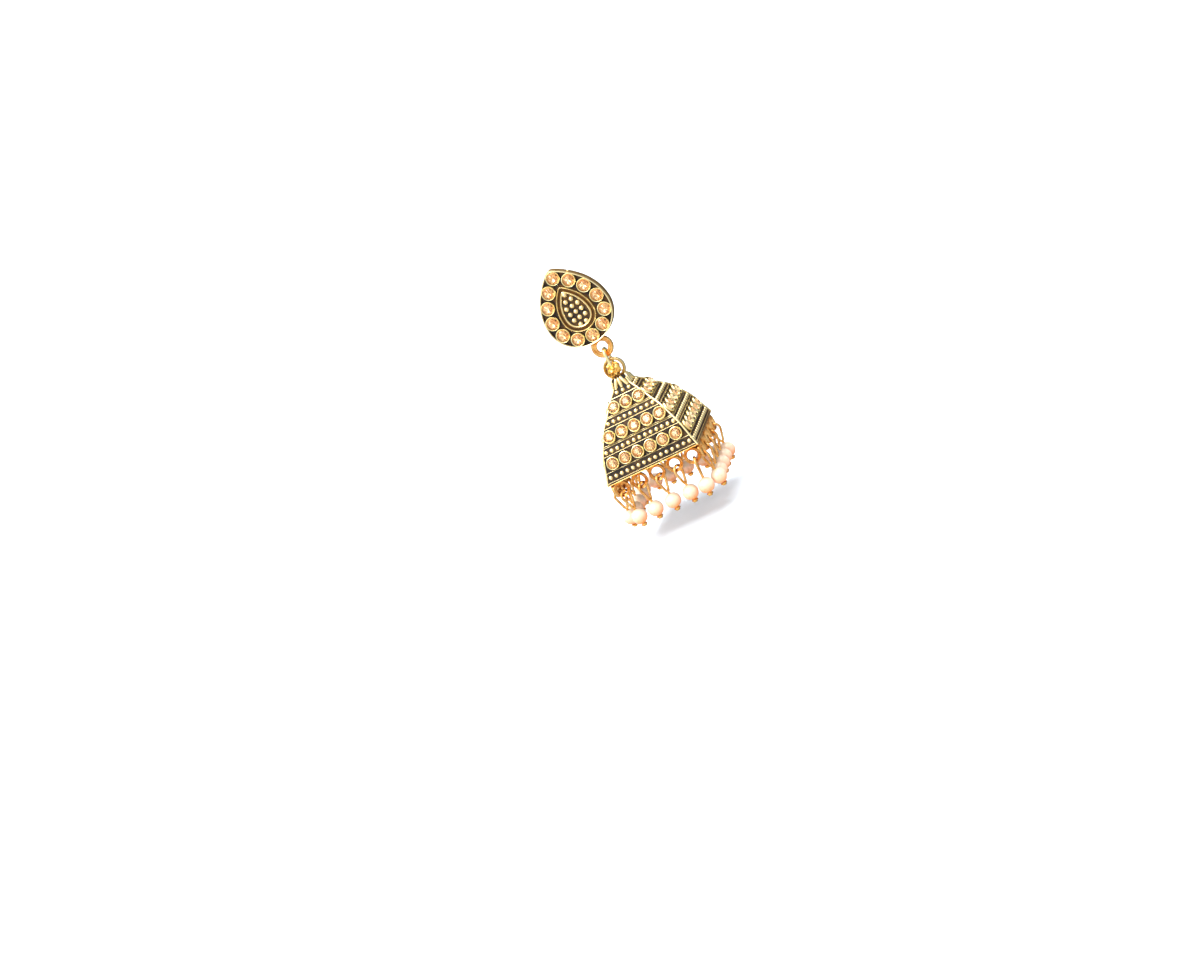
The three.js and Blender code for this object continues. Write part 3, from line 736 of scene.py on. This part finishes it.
# the drops at the corners lean away from each other so that their pearls clear
leanRoom = ((fringeSizes["pearl"] + hang["clearance"]) / math.sqrt(2) - (fringePlane - fringePlaces[-1])) / 2
cornerLean = math.asin(leanRoom / fringeSizes["length"])
for side in range(4):
    for i, x in enumerate(fringePlaces):
        number = f"{side * fringeSizes['count'] + i + 1:02d}"
        lean = cornerLean if i in (0, fringeSizes["count"] - 1) else 0
        place = (bellSide(side) @ Matrix.Translation((x, -fringePlane, sectionZ))
                 @ Matrix.Rotation(-lean, 4, "X") @ Matrix.Rotation(math.copysign(lean, x), 4, "Y"))
        wire = dropShape()
        turned = place @ Matrix.Rotation(math.radians(fringeSizes["turns"][i]), 4, "Z")
        wire["points"] = [turned @ point for point in wire["points"]]
        makePiece("dropWire" + number, wire, [plated, capGold], "drop",
                  ["drop_wire_" + number])
        bead = pearlShape()
        squeeze = Vector((chance.uniform(0.97, 1), chance.uniform(0.97, 1), chance.uniform(0.95, 0.99)))
        spin = Matrix.Rotation(number.count("1") + i, 4, "Z")  # so the squashed sides don't all face one way
        bead["points"] = [spin @ (point * squeeze) for point in bead["points"]]
        centre = place @ Matrix.Translation((0, 0, -fringeSizes["length"]))
        spot = Matrix.Translation(centre.translation * mm) @ centre.to_3x3().to_4x4()
        makePiece("pearl" + number, bead, [pearl], "drop", ["pearl_" + number], place=spot)
print("fringe made")


# Stage, light and camera

stageSizes = dict(floor=-43, front=-900, back=150, bend=110, wall=700, side=1100, colour="#ebf4fb")


def backdrop():
    s = stageSizes
    line = [(s["front"], s["floor"]), (s["back"], s["floor"])]
    line += [(s["back"] + s["bend"] * math.sin(a), s["floor"] + s["bend"] * (1 - math.cos(a)))
             for a in (math.pi / 2 * i / 16 for i in range(1, 17))]
    line.append((s["back"] + s["bend"], s["wall"]))
    rings = [[(x, y, z) for x in (-s["side"], s["side"])] for y, z in line]
    shape = newShape()
    addLoft(shape, rings, around=False)
    mesh = bpy.data.meshes.new("paperSweep")
    mesh.from_pydata([point * mm for point in shape["points"]], [], shape["faces"])
    mesh.shade_smooth()
    paper, tree, shader = newFinish("whitePaper")
    shader.inputs["Base Color"].default_value = linearOf(s["colour"])
    shader.inputs["Roughness"].default_value = 0.9
    mesh.materials.append(paper)
    sweep = bpy.data.objects.new("paperSweep", mesh)
    sweep.visible_glossy = False  # the metal mirrors the room's darker far side instead
    bpy.context.collection.objects.link(sweep)


lightSizes = (  # name, azimuth from the front, elevation, distance, width, watts, colour
    ("keySoftbox", -27, 47, 260, 125, 0.4, "#ffffff"),
    ("frontPanel", -30, 22, 420, 330, 0.36, "#fffaf2"),
    ("topSoftbox", 0, 80, 300, 340, 0.24, "#ffffff"),
)


def softLights():
    aim = Vector((hangX, hangY, -16))
    for name, azimuth, elevation, distance, width, watts, colour in lightSizes:
        a, e = math.radians(azimuth), math.radians(elevation)
        back = Vector((math.sin(a) * math.cos(e), -math.cos(a) * math.cos(e), math.sin(e)))
        lamp = bpy.data.lights.new(name, "AREA")
        lamp.shape, lamp.size, lamp.size_y = "RECTANGLE", width * mm, width * mm
        lamp.energy, lamp.color = watts, linearOf(colour)[:3]
        holder = bpy.data.objects.new(name, lamp)
        holder.location = (aim + back * distance) * mm
        holder.rotation_euler = back.to_track_quat("Z", "Y").to_euler()
        bpy.context.collection.objects.link(holder)


wallLamp = dict(place=(-60, 50, 300), facing=(0, 0.21, -0.2), width=500, height=200, watts=2)


def wallLight():
    # a wide lamp behind the earring, aimed down at the paper
    lamp = bpy.data.lights.new("wallSoftbox", "AREA")
    lamp.shape, lamp.size, lamp.size_y = "RECTANGLE", wallLamp["width"] * mm, wallLamp["height"] * mm
    lamp.energy = wallLamp["watts"]
    holder = bpy.data.objects.new("wallSoftbox", lamp)
    holder.location = Vector(wallLamp["place"]) * mm
    holder.rotation_euler = (-Vector(wallLamp["facing"])).to_track_quat("Z", "Y").to_euler()
    bpy.context.collection.objects.link(holder)


roomSizes = dict(
    brightWay=(-0.42, -0.87, 0.15), strength=0.8,
    greys=((0.08, 0.3), (0.42, 0.85), (0.7, 1.05), (1.0, 1.3)),  # from the dark side to the bright one
)


def roomLight():
    # a pale room: bright up on the left in front, darker low, behind and on the right
    world = bpy.data.worlds.new("room")
    world.use_nodes = True
    bpy.context.scene.world = world
    tree = world.node_tree
    way = addNode(tree, "TexCoord").outputs["Generated"]
    toward = addNode(tree, "VectorMath", {0: way, 1: roomSizes["brightWay"]}, operation="DOT_PRODUCT")
    spread = addNode(tree, "MapRange", {"Value": toward.outputs["Value"], "From Min": -1.0, "From Max": 1.0})
    glow = addNode(tree, "ValToRGB", {"Fac": spread.outputs["Result"]}, stops=[
        (share, greyOf(grey)) for share, grey in roomSizes["greys"]])
    tree.links.new(glow.outputs["Color"], tree.nodes["Background"].inputs["Color"])
    tree.nodes["Background"].inputs["Strength"].default_value = roomSizes["strength"]


photoView = dict(
    azimuth=17.3, elevation=6.6, roll=29.8, distance=300, lens=50.4, sensor=36,
    width=1200, height=960, aboveBell=34.71, pixel=(566.4, 283.3),  # that height shows at that pixel
)


def photoCamera():
    p = photoView
    a, e, r = (math.radians(p[key]) for key in ("azimuth", "elevation", "roll"))
    back = Vector((math.sin(a) * math.cos(e), -math.cos(a) * math.cos(e), math.sin(e)))
    right = Vector((math.cos(a), math.sin(a), 0))
    up = back.cross(right)
    across = right * math.cos(r) - up * math.sin(r)
    above = right * math.sin(r) + up * math.cos(r)
    turn = Matrix((across, above, back)).transposed()
    focus = p["lens"] / p["sensor"] * p["width"]
    ray = Vector((p["pixel"][0] - p["width"] / 2, p["height"] / 2 - p["pixel"][1], -focus)).normalized()
    turn = turn @ Vector((0, 0, -1)).rotation_difference(ray).to_matrix().inverted()
    lens = bpy.data.cameras.new("photoCamera")
    lens.sensor_width, lens.lens = p["sensor"], p["lens"]
    lens.clip_start, lens.clip_end = 0.01, 5
    camera = bpy.data.objects.new("photoCamera", lens)
    spot = (Vector((hangX, hangY, bellZ + p["aboveBell"])) + back * p["distance"]) * mm
    camera.matrix_world = Matrix.Translation(spot) @ turn.to_4x4()
    bpy.context.collection.objects.link(camera)
    bpy.context.scene.camera = camera


backdrop()
softLights()
wallLight()
roomLight()
photoCamera()
bpy.context.scene.view_settings.view_transform = "Standard"
print("stage made")

bpy.context.view_layer.update()
